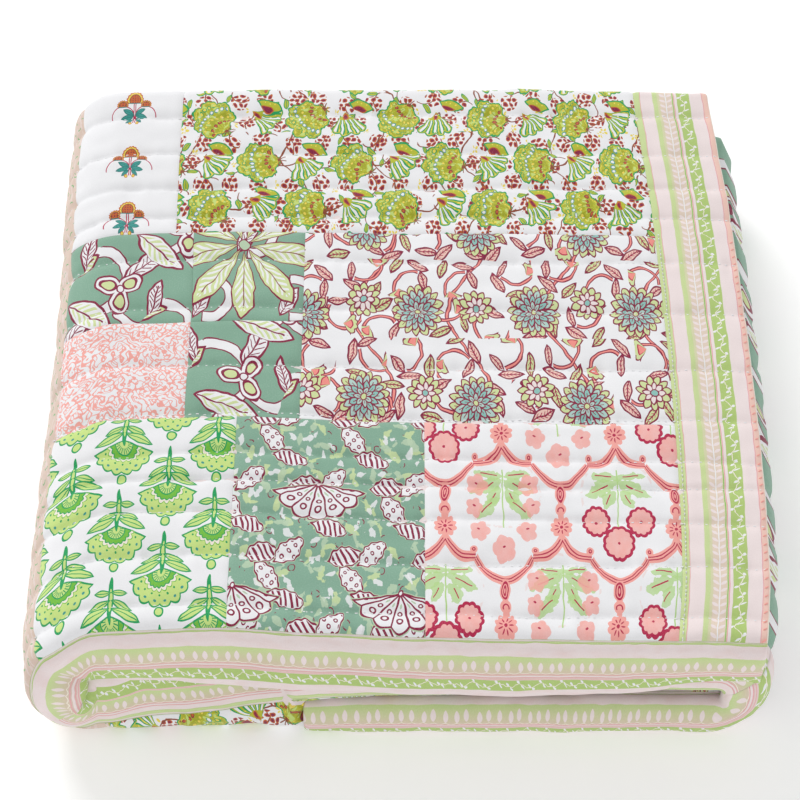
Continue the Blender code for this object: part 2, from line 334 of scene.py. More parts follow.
def normals(across, along):
    """The unit normals towards the patterned side, by small steps each way."""
    step = 0.0006
    low = middle_points(across - step, along)
    high = middle_points(across + step, along)
    before = middle_points(across, np.maximum(along - step, 0.0))
    after = middle_points(across, np.minimum(along + step, BACK_EDGE))
    found = np.cross(after - before, high - low)
    return found / np.maximum(np.linalg.norm(found, axis=2, keepdims=True), 1e-12)


NOISE_TABLES = {seed: np.random.default_rng(seed).uniform(-1, 1, (97, 89)) for seed in (3, 5, 8, 40)}


def soft_noise(x, y, seed):
    """Smooth noise from about -1 to 1, with one bump for each unit of x and of y."""
    table = NOISE_TABLES[seed]
    i, j = np.floor(x).astype(int), np.floor(y).astype(int)
    fx, fy = x - i, y - j
    fx, fy = fx * fx * (3 - 2 * fx), fy * fy * (3 - 2 * fy)

    def corner(a, b):
        return table[(i + a) % 97, (j + b) % 89]

    near = corner(0, 0) * (1 - fx) + corner(1, 0) * fx
    far = corner(0, 1) * (1 - fx) + corner(1, 1) * fx
    return near * (1 - fy) + far * fy


def quilting_rows():
    """Places along the cloth of each row of quilting, on over the back fold to the back hem."""
    rows = [STRIP + row for row in QUILTING_ROWS]
    while rows[-1] + 0.060 < BACK_EDGE:
        rows.append(rows[-1] + 0.048)
    return rows


ROWS = quilting_rows()


def row_place(k, across):
    """Where row k runs at each place across: rows are sewn by hand, so each wanders a little."""
    return ROWS[k] + 0.0016 * soft_noise(across / 0.09 + 7.3 * k, 0.0 * across, 40)


def loft(across, along):
    """(half the cloth's thickness, distance to the nearest row of quilting) at each place."""
    rows = np.array([row_place(k, across) for k in range(len(ROWS))])
    gaps = along[None] - rows
    to_row = np.abs(gaps).min(axis=0)
    below = np.where(gaps >= 0, gaps, 9).min(axis=0)
    above = np.where(gaps < 0, -gaps, 9).min(axis=0)
    half_gap = np.clip((below + above) / 2, 0.010, 0.024)
    swell = 1 - (1 - np.clip(to_row / half_gap, 0, 1)) ** 4.2
    share = ROW_SHARE + (1 - ROW_SHARE) * swell
    # The front border is not quilted: it swells from its hem to its seam.
    strip = np.clip(np.minimum(along, np.abs(STRIP - along)) / 0.012, 0, 1)
    border = SEAM_SHARE + (1 - SEAM_SHARE) * (1 - (1 - strip) ** 2.4)
    share = np.where(along < STRIP, border, share)
    full = np.array([section(at)["loft"] for at in np.interp(across[:, 0], LENGTHS, PLACES)])
    return share * full[:, None] / 2, to_row


def relief(across, along, to_row):
    """Small swells and puckers of the printed side: long ones between rows, short ones at them."""
    swell = 0.00095 * soft_noise(across / 0.042, along / 0.024, 3)
    swell += 0.00055 * soft_noise(across / 0.017, along / 0.013, 5)
    near = np.exp(-to_row / 0.0080)
    pucker = 0.00150 * near * soft_noise(across / 0.0075, along / 0.030, 8)
    return swell + pucker


def edge_steps(start, stop, spacing, fine=()):
    """Places from start to stop about spacing apart, with extra ones at the distances in fine."""
    count = max(2, round((stop - start) / spacing))
    places = set(np.linspace(start, stop, count + 1))
    for step in fine:
        places |= {start + step, stop - step}
    return np.array(sorted(places))


def set_inputs(node, values):
    for name, value in values.items():
        node.inputs[name].default_value = value


def cloth_piece(name, mesh, materials, slots=None):
    """A finished mesh as a piece of the bedspread."""
    for material in materials:
        mesh.materials.append(material)
    if slots is not None:
        mesh.polygons.foreach_set("material_index", slots)
    mesh.shade_smooth()
    mesh.validate()
    made = bpy.data.objects.new(name, mesh)
    bpy.context.scene.collection.objects.link(made)
    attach(made, "root")
    return made


def closed_sheet(name, top, under, flat, materials, rim_slot=0):
    """A thin closed mesh between two aligned grids of points, with the flat cloth as its UV map."""
    wide, long = top.shape[:2]
    count = wide * long
    index = np.arange(count).reshape(wide, long)
    quads = np.stack([index[:-1, :-1], index[:-1, 1:], index[1:, 1:], index[1:, :-1]], axis=-1).reshape(-1, 4)
    ring = np.concatenate([index[0, :-1], index[:-1, -1], index[-1, :0:-1], index[:0:-1, 0]])
    following = np.roll(ring, -1)
    rim = np.stack([ring, ring + count, following + count, following], axis=-1)
    faces = np.concatenate([quads, quads[:, ::-1] + count, rim])
    mesh = bpy.data.meshes.new(name)
    mesh.from_pydata(np.concatenate([top.reshape(-1, 3), under.reshape(-1, 3)]).tolist(), [], faces.tolist())
    layer = mesh.uv_layers.new(name="flat_cloth")
    places = np.concatenate([flat.reshape(-1, 2)] * 2)
    layer.uv.foreach_set("vector", places[faces.reshape(-1)].astype(np.float32).reshape(-1))
    slots = np.zeros(len(faces), np.int32)
    slots[len(quads):2 * len(quads)] = min(1, len(materials) - 1)
    slots[2 * len(quads):] = rim_slot
    return cloth_piece(name, mesh, materials, slots)


def grid_of(across, along):
    return np.meshgrid(across, along, indexing="ij")


def hem_round(across, along):
    """How much of the thickness is left near the outer hems, where the cloth's edge is turned."""
    to_hem = np.minimum.reduce([across, LEFT_EDGE - across, along, BACK_EDGE - along])
    share = np.clip(to_hem / HEM_ROUND, 0, 1)
    return 0.30 + 0.70 * np.sqrt(1 - (1 - share) ** 2)


def core_sheet(front, back, hem):
    """The filled cloth itself: backing on its under side, and what shows between the patches."""
    fine = (0.0008, 0.0018, 0.0032, 0.0050, 0.008)
    steps = [
        edge_steps(0.0, 0.50, 0.012, fine), edge_steps(0.51, 0.76, 0.006),
        edge_steps(0.77, 1.18, 0.013), edge_steps(1.19, LEFT_EDGE, 0.0074, fine),
    ]
    across = np.unique(np.concatenate(steps).round(6))
    steps = [
        edge_steps(0.0, 0.112, 0.004, fine), edge_steps(0.118, TOP_STOP - 0.006, 0.006),
        edge_steps(TOP_STOP, BACK_STOP, 0.0021), edge_steps(BACK_STOP + 0.006, MIDDLE_STOP - 0.01, 0.024),
        edge_steps(MIDDLE_STOP, FRONT_STOP, 0.0025), edge_steps(FRONT_STOP + 0.007, BACK_EDGE, 0.0075, fine),
    ]
    along = np.unique(np.concatenate(steps).round(6))
    x, y = grid_of(across, along)
    middle, normal = middle_points(across, along), normals(across, along)
    half, to_row = loft(x, y)
    rounded = hem_round(x, y)
    bumps = relief(x, y, to_row)
    inner = np.where(y > BACK_STOP, 0.0, 1.0)
    top = middle + normal * ((half * rounded - UNDER_PATCHES + bumps * inner)[..., None])
    lower = middle - normal * ((half * rounded - 0.0002 - 0.4 * bumps)[..., None])
    for points in (top, lower):
        points[..., 2] = np.maximum(points[..., 2], 0.0004)
    core = closed_sheet("quilted_sheet", top, lower, np.stack([x, y], axis=-1), [front, back, hem], 2)
    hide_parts("bedspread")
    return core


def panel(name, across_range, along_range, spacing, material, seams):
    """One pieced panel of printed cloth, lying on the filling and dipping into its seams."""
    fine = (0.0005, 0.0011, 0.0019)
    across = edge_steps(*across_range, spacing, fine)
    along = edge_steps(*along_range, spacing, fine)
    x, y = grid_of(across, along)
    half, to_row = loft(x, y)
    offset = half * hem_round(x, y) + relief(x, y, to_row)
    to_seam = np.full(x.shape, 1.0)
    for side, distance in zip(
        "RLFB", (x - across[0], across[-1] - x, y - along[0], along[-1] - y)
    ):
        if side in seams:
            to_seam = np.minimum(to_seam, distance)
    offset -= SEAM_SINK * np.exp(-((to_seam / SEAM_WIDTH) ** 1.3))
    middle, normal = middle_points(across, along), normals(across, along)
    top = middle + normal * offset[..., None]
    under = top - normal * PANEL
    for points in (top, under):
        points[..., 2] = np.maximum(points[..., 2], 0.0002)
    return closed_sheet(name, top, under, np.stack([x, y], axis=-1), [material])


def linear(code):
    """A colour from its hex code, as the shader takes it."""
    parts = [int(code[i:i + 2], 16) / 255 for i in (0, 2, 4)]
    return (*[p / 12.92 if p <= 0.04045 else ((p + 0.055) / 1.055) ** 2.4 for p in parts], 1.0)


def inks(codes):
    return [linear(code) for code in codes.split()]


WHITE, CREAM, BEIGE, PINK_BEIGE, PALE_PINK, BLUSH = inks("EFEFF1 F3EBDD E2D0BF DCC4B6 EEE0DF E9CFCB")
PEACH, PINK, CORAL_WASH, CORAL, CRIMSON, MAROON = inks("F0C9BC E6A9AE F4A9A0 F2938A B8264E 8A2444")
RUST, BROWN, YELLOW, CHARTREUSE, OLIVE = inks("C4652F 8F4A32 EBD65A BABE35 A3A728")
LIME, LIME_WASH, PALE_LIME, LIGHT_GREEN, VINE_GREEN = inks("CAE388 CFE0A6 D2DFA2 CADA9C B2CB79")
LEAF_WASH, LEAF_GREEN, GREEN_WASH, GREEN = inks("B5D78C 74BE40 86B87E 1FA05C")
SAGE, PALE_SAGE, TEAL, PALE_TEAL, MID_TEAL, DARK_TEAL = inks("86AD97 BCD2B4 3D9C92 B5D3CB 8FC4BC 2E7A78")


def operation(kind, family="work"):
    """A method that works out a node of this kind from a value of its own and any others."""

    def method(self, *others):
        return getattr(self.drawing, family)(kind, self, *others)

    return method


class Number:
    """A value in a print, which nodes work out at each place."""

    def __init__(self, drawing, socket):
        self.drawing = drawing
        self.socket = socket

    __add__ = __radd__ = operation("ADD")
    __sub__ = operation("SUBTRACT")
    __mul__ = __rmul__ = operation("MULTIPLY")
    __truediv__ = operation("DIVIDE")
    __abs__ = operation("ABSOLUTE")
    sine = operation("SINE")
    cosine = operation("COSINE")
    over = operation("GREATER_THAN")
    # Two shapes given by how far outside them a place is, cut to what they share.
    cut = operation("MAXIMUM")

    def __rsub__(self, other):
        return self.drawing.work("SUBTRACT", other, self)

    def under(self, limit=0):
        return self.drawing.work("LESS_THAN", self, limit)

    def near(self, place, width):
        """One within a line of this width about a place, zero elsewhere."""
        return self.drawing.work("COMPARE", self, place, width / 2)

    def line(self, width):
        return self.near(0, width)

    def wave(self, period):
        return (self * (2 * math.pi / period)).sine()

    def wrapped(self, period):
        return self.drawing.work("WRAP", self, period / 2, -period / 2)

    def cell(self, period):
        return self.drawing.work("FLOOR", self * (1 / period) + 0.5)

    def odd(self):
        return self.drawing.work("FLOORED_MODULO", self, 2)


class Spot:
    """A place in a print, in millimetres, seen from a motif's own middle and direction."""

    def __init__(self, drawing, socket):
        self.drawing = drawing
        self.socket = socket
        self.parts = None

    __add__ = operation("ADD", "vector")
    __sub__ = operation("SUBTRACT", "vector")
    __mul__ = operation("MULTIPLY", "vector")
    __abs__ = operation("ABSOLUTE", "vector")
    length = operation("LENGTH", "vector")

    def part(self, index):
        if self.parts is None:
            outputs = self.drawing.node("SeparateXYZ", self).outputs
            self.parts = [Number(self.drawing, socket) for socket in outputs]
        return self.parts[index]

    @property
    def x(self):
        return self.part(0)

    @property
    def y(self):
        return self.part(1)

    def placed(self, x=0, y=0, turn=0, scale=1):
        """The same place seen from a motif at (x, y) that is turned by some degrees and scaled."""
        moved = (self, (x, y, 0), (0, 0, math.radians(turn)), (scale, scale, 1))
        return Spot(self.drawing, self.drawing.node("Mapping", *moved, vector_type="TEXTURE").outputs[0])

    def spun(self, angle):
        node = self.drawing.node("VectorRotate", self, (0, 0, 0), (0, 0, 1), angle, rotation_type="Z_AXIS")
        return Spot(self.drawing, node.outputs[0])

    def off(self, x, y):
        """The distance to a point."""
        return self.drawing.vector("DISTANCE", self, (x, y, 0))

    def ring(self, x, y, radius, half_line):
        """One on a circle's line about a point, zero elsewhere."""
        return abs(self.off(x, y) - radius).under(half_line)

    def angle(self):
        return self.drawing.work("ARCTAN2", self.y, self.x)

    def scallop(self, lobes, depth, radius):
        """How far outside a round with a scalloped edge a place is; half as many lobes as it shows."""
        return self.length() - abs((self.angle() * lobes).sine()) * depth - radius

    def mirrored(self):
        return self.drawing.spot(abs(self.x), self.y)

    def flattened(self):
        """The same place as it looks from the front of a bed, where depth is foreshortened."""
        return self * (1, 0.806, 0)

    def staggered(self, wide, tall):
        """The same place with every other row of cells moved sideways by half a cell."""
        return self.drawing.spot(self.x + self.y.cell(tall).odd() * (wide / 2), self.y)

    def repeated(self, wide, tall):
        return self.drawing.vector("WRAP", self, (wide / 2, tall / 2, 1), (-wide / 2, -tall / 2, -1))

    def bricks(self, wide, tall):
        """Places about the middle of each cell of a brick pattern."""
        return self.staggered(wide, tall).repeated(wide, tall)

    def folded(self, count, phase=0):
        """Places round the middle folded into one of a number of like petals, along +X."""
        turned = (self.angle() + phase).wrapped(2 * math.pi / count)
        reach = self.length()
        return self.drawing.spot(turned.cosine() * reach, turned.sine() * reach)

    def leaf(self, x, y, turn, long, wide):
        """How far outside a pointed leaf a place is; the leaf is long and wide in millimetres."""
        half, side = long / 2, wide / 2
        reach = (half * half + side * side) / (2 * side)
        own = self.placed(x, y, turn)
        return (abs(own) + (0, reach - side, 0)).length() - reach, own

    def oval(self, x, y, turn, long, wide):
        """How far outside an oval a place is, nearly enough for a thin outline."""
        return (self.placed(x, y, turn) * (wide / long, 1, 0)).length() - wide / 2

    def lattice(self, wide, tall):
        """Places about the nearest motif of a half-drop repeat."""
        first = self.repeated(2 * wide, tall)
        second = self.placed(wide, tall / 2).repeated(2 * wide, tall)
        reach = self.drawing.vector("DOT_PRODUCT", abs(first), (1 / wide, 2 / tall, 0))
        return Spot(self.drawing, self.drawing.mixed("VECTOR", 4, reach.under(1), second, first).outputs[1])

    def scattered(self, wide, tall, seed, shift=0.3):
        """Places about a motif in each cell, each moved and turned its own way."""
        moved = self.staggered(wide, tall)
        cell = self.drawing.spot(moved.x.cell(wide), self.y.cell(tall) + seed)
        chance, direction = self.drawing.node("TexWhiteNoise", cell, noise_dimensions="2D").outputs
        pushed = (Spot(self.drawing, direction) - (0.5, 0.5, 0)) * (wide * shift, tall * shift, 0)
        local = (moved.repeated(wide, tall) - pushed) * (1, 1, 0)
        return local.spun(Number(self.drawing, chance) * (2 * math.pi))


class Drawing:
    """A cotton print: nodes that lay one flat shape of ink over another."""

    def __init__(self, name, ground):
        self.material = bpy.data.materials.new(name)
        self.material.use_nodes = True
        self.tree = self.material.node_tree
        self.tree.nodes.clear()
        self.colour = ground

    def node(self, kind, *values, **settings):
        """A new node with these settings, and values for its first inputs."""
        made = self.tree.nodes.new("ShaderNode" + kind)
        for key, value in settings.items():
            setattr(made, key, value)
        for value, socket in zip(values, made.inputs):
            self.join(value, socket)
        return made

    def join(self, value, socket):
        if isinstance(value, (Number, Spot)):
            value = value.socket
        if isinstance(value, bpy.types.NodeSocket):
            self.tree.links.new(value, socket)
        else:
            socket.default_value = value

    def work(self, kind, *values):
        return Number(self, self.node("Math", *values, operation=kind).outputs[0])

    def vector(self, kind, *values):
        outputs = self.node("VectorMath", *values, operation=kind).outputs
        if kind in ("LENGTH", "DISTANCE", "DOT_PRODUCT"):
            return Number(self, outputs["Value"])
        return Spot(self, outputs["Vector"])

    def spot(self, x, y):
        return Spot(self, self.node("CombineXYZ", x, y).outputs[0])

    def mixed(self, kind, first_input, share, low, high):
        """A mix of two values; the node has its own pair of inputs for each kind."""
        node = self.node("Mix", share, data_type=kind)
        self.join(low, node.inputs[first_input])
        self.join(high, node.inputs[first_input + 1])
        return node

    def flat(self):
        return Spot(self, self.node("UVMap", uv_map="flat_cloth").outputs[0])

    def place(self, wander=0.7, x=0, y=0, turn=0):
        """The place on the flat cloth in millimetres, with the slight wander of a drawn line."""
        scaled = self.flat() * (-1000, 1000, 0)
        if wander:
            drift = Spot(self, self.noise(scaled, 0.07, output="Color").socket) - (0.5, 0.5, 0.5)
            scaled = scaled + drift * (wander * 5, wander * 5, 0)
        return scaled.placed(x, y, turn) if x or y or turn else scaled

    def noise(self, place, scale, detail=1, distortion=0, output="Fac"):
        """Soft noise from 0 to 1, scale bumps to a unit of place."""
        node = self.node("TexNoise", place, noise_dimensions="2D")
        set_inputs(node, {"Scale": scale, "Detail": detail, "Distortion": distortion})
        return Number(self, node.outputs[output])

    def ink(self, mask, colour):
        self.colour = self.mixed("RGBA", 6, mask, self.colour, colour).outputs[2]

    def shape(self, distance, fill, outline=None, width=1, within=1):
        """Fill where a distance is under zero, with an outline on its edge."""
        self.ink(distance.under() * within, fill)
        if outline is not None:
            self.ink(distance.line(width) * within, outline)

    def veined_leaf(self, spot, x, y, turn, long, wide, fill, outline, width=0.9):
        distance, own = spot.leaf(x, y, turn, long, wide)
        self.shape(distance, fill, outline, width)
        self.ink(own.y.line(width * 0.7) * distance.under(-0.6), outline)

    def finish(self, wear=0.5):
        """The cloth under the ink: threads, slightly uneven ink, a soft sheen and a fine bump."""
        place = self.flat()
        threads = place * (2 * math.pi / WARP, 2 * math.pi / WEFT, 0)
        weave = threads.x.sine() * threads.y.sine()
        grain = self.noise(place, 900, 3)
        patchy = self.noise(place, 28, 2)
        self.ink((grain - 0.47) * (0.9 * wear) * patchy, WHITE)
        shade = weave * 0.02 + (patchy - 0.5) * 0.05 + (grain - 0.5) * 0.08 + 1
        shaded = self.node("VectorMath", self.colour, (0, 0, 0), (0, 0, 0), shade, operation="SCALE")
        shader = self.node("BsdfPrincipled")
        self.join(shaded.outputs["Vector"], shader.inputs["Base Color"])
        self.join(0.80 + grain * 0.16, shader.inputs["Roughness"])
        set_inputs(shader, {"Specular IOR Level": 0.25, "Sheen Weight": 0.22, "Sheen Roughness": 0.45})
        bump = self.node("Bump")
        set_inputs(bump, {"Strength": 0.5, "Distance": 0.00012})
        self.join(weave * 0.35 + grain, bump.inputs["Height"])
        self.join(bump.outputs[0], shader.inputs["Normal"])
        self.node("OutputMaterial", shader.outputs[0])
        return self.material


def block_fans():
    """White ground with sprays that hang: a stem, drooping leaves and a wide scalloped lime fan."""
    draw = Drawing("block_fan_print", WHITE)
    spot = draw.place(0.5, -21, 17).flattened().lattice(38.5, 68)
    half = spot.mirrored()
    draw.shape(spot.off(0, -26.5) - 3.6, LIME, GREEN, 1.2)
    fan = spot.placed(0, 2)
    reach = fan.length()
    roof = spot.y + abs(spot.x) * 0.40 - 5
    draw.shape(fan.scallop(8, 2.4, 22.4).cut(roof), LIME, GREEN, 1.3)
    inked = roof.under(-1)
    draw.ink(fan.folded(16, math.pi / 16).oval(20.6, 0, 90, 2.4, 1.7).under() * inked, TEAL)
    draw.ink(fan.folded(16).off(16.6, 0).under(0.8) * inked, GREEN)
    draw.shape(fan.scallop(9, 2.2, 12.4).cut(roof), CREAM, LEAF_GREEN, 0.8)
    draw.shape(fan.scallop(9, 1.2, 10.4).cut(roof), LEAF_GREEN, GREEN, 0.9)
    draw.shape((reach - 7.2).cut(roof), LIME, GREEN, 0.9)
    draw.ink(fan.folded(20).y.line(0.6) * reach.near(4.9, 3.4) * roof.under(), GREEN)
    draw.shape(spot.oval(0, 17, 90, 25, 3.4), LIME, GREEN, 1.1)
    draw.veined_leaf(half, 6.5, 22, -6, 12, 4.2, LIME, GREEN)
    draw.veined_leaf(half, 8.6, 13.4, -24, 17, 4.6, LIME, GREEN)
    draw.veined_leaf(half, 12, 6.6, -25, 24, 6.6, LIME, GREEN, 1)
    return draw.finish()


def trellis():
    """White ground with a stepped coral trellis, bead chains at its joints and loose posies inside."""
    draw = Drawing("trellis_print", WHITE)
    place = draw.place(0.5, -27, 80).flattened()
    half_wide, half_tall, chain, bowl_tall, bell_tall = 46.5, 72.5, 20.7, 17.4, 13.7
    cells = place.placed(0, half_tall)
    inside = cells.lattice(half_wide, 2 * half_tall)
    chosen = draw.work("FLOOR", (cells.x - inside.x) * (0.5 / half_wide) + 0.25).odd()
    other = 1 - chosen
    half = inside.mirrored()
    blots = draw.noise(place, 0.16, 2)
    pale = blots * 0.3 + 0.68
    draw.ink(half.ring(4, 14, 26, 0.9) * blots.over(0.54), PALE_PINK)
    for x, y, turn, long, wide, lower in (
        (13, 19, -24, 29, 11, 1), (10, 28, 4, 26, 6.5, 1), (7, 11, -60, 17, 10, 1), (12, 3, -38, 24, 9, other),
    ):
        body, own = half.leaf(x, y, turn, long, wide)
        draw.ink((body + (blots - 0.5) * 7).under() * pale * lower, LEAF_WASH)
        draw.ink(own.y.near(0.6, 0.9) * own.x.near(1, long * 0.5) * body.under(-1) * lower, CRIMSON)
    draw.ink(inside.x.line(1.1) * inside.y.near(10, 46), LEAF_WASH)
    for spot, x, y, reach in ((half, 18, -7, 9.6), (inside, 0, -23, 11)):
        own = spot.placed(x, y)
        edge = own.scallop(6, 1.2, reach)
        draw.ink(edge.under() * pale * chosen, CORAL_WASH)
        draw.ink(edge.line(2.4) * chosen, CRIMSON)
        draw.ink(own.length().under(1.1) * chosen, CRIMSON)
    for spot, x, y, reach in (
        (half, 21, 20, 8), (half, 23, 3, 6.2), (half, 19, -15, 7.4), (inside, 0, -29, 9.4),
    ):
        own = spot.placed(x, y)
        petal = own.scallop(2.5, 2, reach * 0.86) + (blots - 0.5) * 2
        draw.ink(petal.under() * other * pale, CORAL_WASH)
        draw.ink(own.oval(0.6, 1.5, 20, 2.6, 1.4).under() * other, CRIMSON)
    joint = place.lattice(half_wide, 2 * half_tall)
    arm = abs(joint.x)
    share = arm * (2 / half_wide)
    rest = 1 - share
    bowl = (joint.y - chain - share * share * bowl_tall) * (1 - share * 0.32)
    bell = (joint.y + chain + bell_tall - rest * rest * rest * bell_tall) * (share * 0.5 + 0.5)
    reach = arm.under(half_wide / 2 + 0.6)
    upper = joint.y.over(chain - 3) * joint.y.under(chain + bowl_tall + 4) * reach
    lower = joint.y.under(2 - chain) * joint.y.over(-chain - bell_tall - 4) * reach
    for rail, mask in ((bowl, upper), (bell, lower)):
        draw.ink(rail.line(6.2) * mask, CORAL_WASH)
        draw.ink(abs(rail).near(1, 0.8) * mask, CRIMSON)
    for x, y in ((24.2, chain + bowl_tall + 4.6), (22.3, 4.6 - chain - bell_tall)):
        loop = draw.spot(arm - x, joint.y - y).length()
        draw.ink(loop.under(2.9), CORAL_WASH)
        draw.ink(loop.near(1, 0.8), CRIMSON)
    draw.ink(arm.under(2.4) * abs(joint.y).under(chain + 1), CORAL_WASH)
    draw.shape(joint.oval(0, 13.6, 90, 15, 9.4), CORAL_WASH)
    draw.ink(joint.oval(0, 13.6, 90, 11.4, 5.6).line(0.9), CRIMSON)
    draw.ink(joint.oval(0, 13.6, 90, 6, 2).line(0.7), CRIMSON)
    draw.shape(joint.off(0, 2) - 4.6, CORAL_WASH)
    draw.ink(joint.ring(0, 1, 2.4, 0.5) * joint.y.over(0), CRIMSON)
    head = joint.placed(0, -11.5)
    draw.ink(head.scallop(5, 1.8, 7.4).under(), CORAL_WASH)
    draw.ink(head.folded(9).oval(4.2, 0, 0, 3.6, 1).under(), CRIMSON)
    draw.ink(head.length().under(1.3), CRIMSON)
    return draw.finish()


def butterflies():
    """Sage ground with wide white shells and striped wings edged in maroon, over loose green leaves."""
    draw = Drawing("wing_print", SAGE)
    place = draw.place(0.7, 2, -26).flattened()
    mottle = draw.noise(place, 0.13, 3, 0.4)
    for dx, dy, seed, mark in ((11, 9, 31, LIME_WASH), (3, 16, 77, PALE_SAGE)):
        back = place.placed(dx, dy).scattered(24, 19, seed, 0.4)
        for x, y, turn, long, wide, paint in (
            (0, 2, 20, 13, 6, mark), (4, -4, -35, 10, 5, WHITE), (-5, -3, 70, 9, 4.4, mark),
        ):
            ragged = back.leaf(x, y, turn, long, wide)[0] + (mottle - 0.42) * 9
            draw.ink(ragged.under() * 0.8, paint)
        draw.ink(back.ring(6, 6, 2.6, 0.4) * mottle.over(0.54), MAROON)
    bricks = place.bricks(66, 54)
    for dx, dy, lean in ((0, 14, 24), (2, -13, -30)):
        tilted = bricks.placed(dx, dy, lean)
        for x, y, turn, long, wide, banded in (
            (-11, 3, -16, 27, 14, dy > 0), (10, -3, 14, 29, 13, dy < 0),
        ):
            body, own = tilted.leaf(x, y, turn, long, wide)
            ragged = body + (own.x * 0.9).sine() * 0.5
            draw.shape(ragged - 1, PALE_SAGE)
            draw.shape(ragged, WHITE, MAROON, 1.1)
            if banded:
                draw.ink(abs((own.x + own.y * 0.5).wrapped(4.6)).under(1) * ragged.under(-1), MAROON)
            else:
                draw.ink(own.repeated(6.8, 5).length().near(1.2, 0.9) * ragged.under(-1.2), MAROON)
    shell = place.placed(33, 4).bricks(132, 81)
    own = shell.placed(0, 10)
    wide = draw.spot(own.x * 0.66, own.y * 0.92)
    edge = wide.scallop(7, 2.6, 22.5).cut(own.y + abs(own.x) * 0.20)
    draw.shape(edge - 1.2, PALE_SAGE)
    draw.shape(edge, WHITE, MAROON, 1.2)
    draw.ink(wide.folded(14, math.pi / 2 + math.pi / 14).y.line(1) * edge.under(), MAROON)
    ringed = wide.folded(14, math.pi / 2)
    inner = edge.under(-0.6)
    draw.ink(ringed.off(18.6, 0).near(1.6, 1) * inner, MAROON)
    draw.ink(ringed.off(13.4, 0).near(1.1, 0.8) * inner, MAROON)
    draw.ink(ringed.oval(8.6, 0, 0, 3.4, 1).under() * inner, PALE_SAGE)
    draw.shape(shell.off(0, 10) - 1.6, WHITE, MAROON, 0.9)
    return draw.finish()


def dahlias():
    """White ground with many-petalled flowers and fan flowers on branching maroon and coral stems."""
    draw = Drawing("dahlia_print", WHITE)
    place = draw.place(0.8, 6, -4).flattened().placed(scale=1.4)
    stem = (place.x + place.y.wave(96) * 13).wrapped(58)
    leafy = place.placed(16, 13).scattered(30, 25, 5, 0.22)
    draw.ink(stem.line(2.6), MAROON)
    draw.ink(stem.line(1.2), CORAL)
    draw.ink(leafy.ring(8, 2, 11, 1.1) * leafy.y.under(6), MAROON)
    draw.ink(leafy.ring(8, 2, 11, 0.45) * leafy.y.under(6), CORAL)
    for x, y, turn, long, wide, paint in (
        (-7, 6, 62, 15, 5.4, PEACH), (-8, -7, -30, 14, 5, PALE_LIME), (3, 9, 10, 13, 4.6, PEACH),
    ):
        body, own = leafy.leaf(x, y, turn, long, wide)
        draw.shape(body, paint, MAROON, 0.9)
        draw.ink(own.y.line(0.7) * body.under(-0.4), MAROON)
        veins = (own.x + abs(own.y) * 1.4).wrapped(2.2).line(0.6)
        draw.ink(veins * abs(own.y).under(wide * 0.26) * body.under(-0.5), CRIMSON)
    tulip = leafy.placed(7.5, -6)
    spread = abs(tulip.angle()) * 8
    draw.shape(tulip.scallop(7, 1.2, 7.6).cut(spread - 7.4), PALE_LIME, MAROON, 0.9)
    draw.shape((tulip.length() - 5.4).cut(spread - 4.6), CORAL, CRIMSON, 0.7)
    spot = place.scattered(68, 54, 3, 0.10)
    for count, phase, at, long, wide, paint in (
        (16, 0, 12.6, 7, 4.6, PALE_LIME), (14, 0.2, 9.6, 7, 4, PALE_TEAL),
        (11, 0, 6.4, 6.4, 3.4, MID_TEAL), (7, 0.3, 3.4, 5, 2.8, PALE_TEAL),
    ):
        body, own = spot.folded(count, phase).leaf(at, 0, 0, long, wide)
        draw.shape(body, paint, MAROON, 0.7)
        draw.ink(own.y.line(0.4) * own.x.near(-0.6, long * 0.4), MAROON)
    draw.shape(spot.length() - 1.7, PALE_LIME, MAROON, 0.6)
    lesser = place.placed(34, 6).scattered(68, 54, 14, 0.10)
    for count, phase, at, long, wide, paint in (
        (11, 0, 7.4, 6.4, 4.2, PALE_LIME), (8, 0.2, 4, 5.6, 3.2, PALE_PINK),
    ):
        draw.shape(lesser.folded(count, phase).leaf(at, 0, 0, long, wide)[0], paint, MAROON, 0.8)
    draw.shape(lesser.length() - 2, MID_TEAL, MAROON, 0.7)
    return draw.finish()


def great_leaf(draw, spot, x, y, turn, long, wide, light, dark):
    """A large veined leaf with a maroon edge: thin maroon ribs, or broad ribs of a paler ink."""
    body, own = spot.leaf(x, y, turn, long, wide)
    draw.shape(body, light)
    ribs = (own.x - abs(own.y) * 1.3).wrapped(long / 8)
    inner = body.under(-wide * 0.12) * abs(own.y).over(0.7)
    draw.ink(ribs.line(1.1 if dark == MAROON else long / 17) * inner, dark)
    draw.ink(own.y.line(1) * own.x.near(-long * 0.06, long * 0.8) * body.under(), MAROON)
    draw.ink(body.line(1.4), MAROON)


def star_leaves():
    """Sage ground with a star of long pale leaves veined in white, among curling white stems."""
    draw = Drawing("star_leaf_print", SAGE)
    middle = (-1000 * (DAHLIA_END + 2 * INCH_ACROSS), 1000 * (SECOND_ROW - 0.016))
    place = draw.place(0.8, *middle).flattened()
    curls = place.placed(8, 10).bricks(74, 58)
    draw.ink(curls.ring(0, 0, 17, 4.6) * curls.x.over(-6), MAROON)
    draw.ink(curls.ring(0, 0, 17, 3.5) * curls.x.over(-5), WHITE)
    great_leaf(draw, curls, -6, -3, 60, 30, 11, WHITE, MAROON)
    star = place.repeated(190, 160)
    petal = star.folded(9, 0.17)
    tapered = draw.spot(petal.x, petal.y / (petal.x * 0.014 + 0.22))
    great_leaf(draw, tapered, 36, 0, 0, 62, 25, PALE_LIME, WHITE)
    draw.shape(star.length() - 4.2, PALE_SAGE, MAROON, 1)
    return draw.finish()


